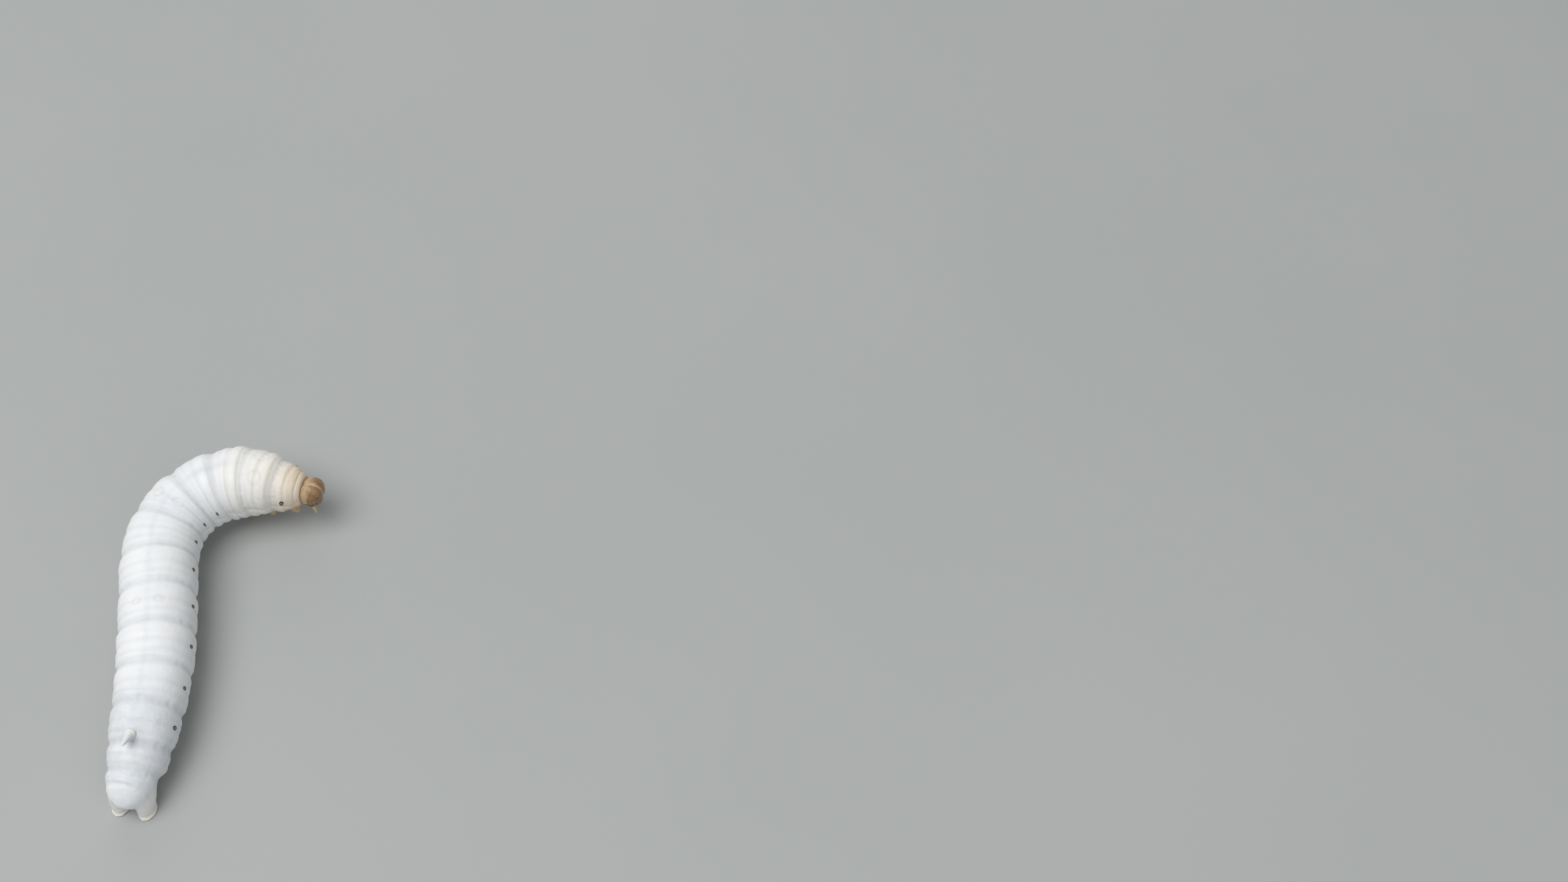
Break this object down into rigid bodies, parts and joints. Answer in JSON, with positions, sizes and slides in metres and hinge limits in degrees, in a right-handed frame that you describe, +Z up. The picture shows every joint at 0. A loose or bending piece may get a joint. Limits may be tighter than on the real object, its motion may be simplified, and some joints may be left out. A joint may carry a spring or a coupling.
{
  "type": "silkworm",
  "caption": "Still, life-size silkworm: a plump white larva on stout prolegs, its front curled round to one side and its small brown head held just clear of the floor",
  "frame": {"origin": "on the floor, under the middle of the animal's bounding box", "axes": "+Z up, +Y along the straight rear body towards the bend, +X the way the head looks"},
  "size_m": [0.027, 0.0536, 0.0122],
  "materials": {
    "skin": "satin",
    "capsule": "satin",
    "leg": "satin",
    "mandible": "gloss",
    "eye": "gloss"
  },
  "bodies": {
    "root": {"prothorax": "skin", "mesothorax": "skin", "metathorax": "skin", "abdomen_1": "skin", "abdomen_2": "skin", "abdomen_3": "skin", "abdomen_4": "skin", "abdomen_5": "skin", "abdomen_6": "skin", "abdomen_7": "skin", "abdomen_8": "skin", "abdomen_9": "skin", "anal_segment": "skin", "head": "capsule", "labrum": "capsule", "labium": "capsule", "mandible_left": "mandible", "eye_left": "eye", "antenna_left": "leg", "mandible_right": "mandible", "eye_right": "eye", "antenna_right": "leg", "caudal_horn": "skin", "thoracic_leg_1_left": "leg", "thoracic_leg_2_left": "leg", "thoracic_leg_3_left": "leg", "proleg_3_left": "skin", "proleg_4_left": "skin", "proleg_5_left": "skin", "proleg_6_left": "skin", "anal_proleg_left": "skin", "thoracic_leg_1_right": "leg", "thoracic_leg_2_right": "leg", "thoracic_leg_3_right": "leg", "proleg_3_right": "skin", "proleg_4_right": "skin", "proleg_5_right": "skin", "proleg_6_right": "skin", "anal_proleg_right": "skin"}
  },
  "joints": []
}
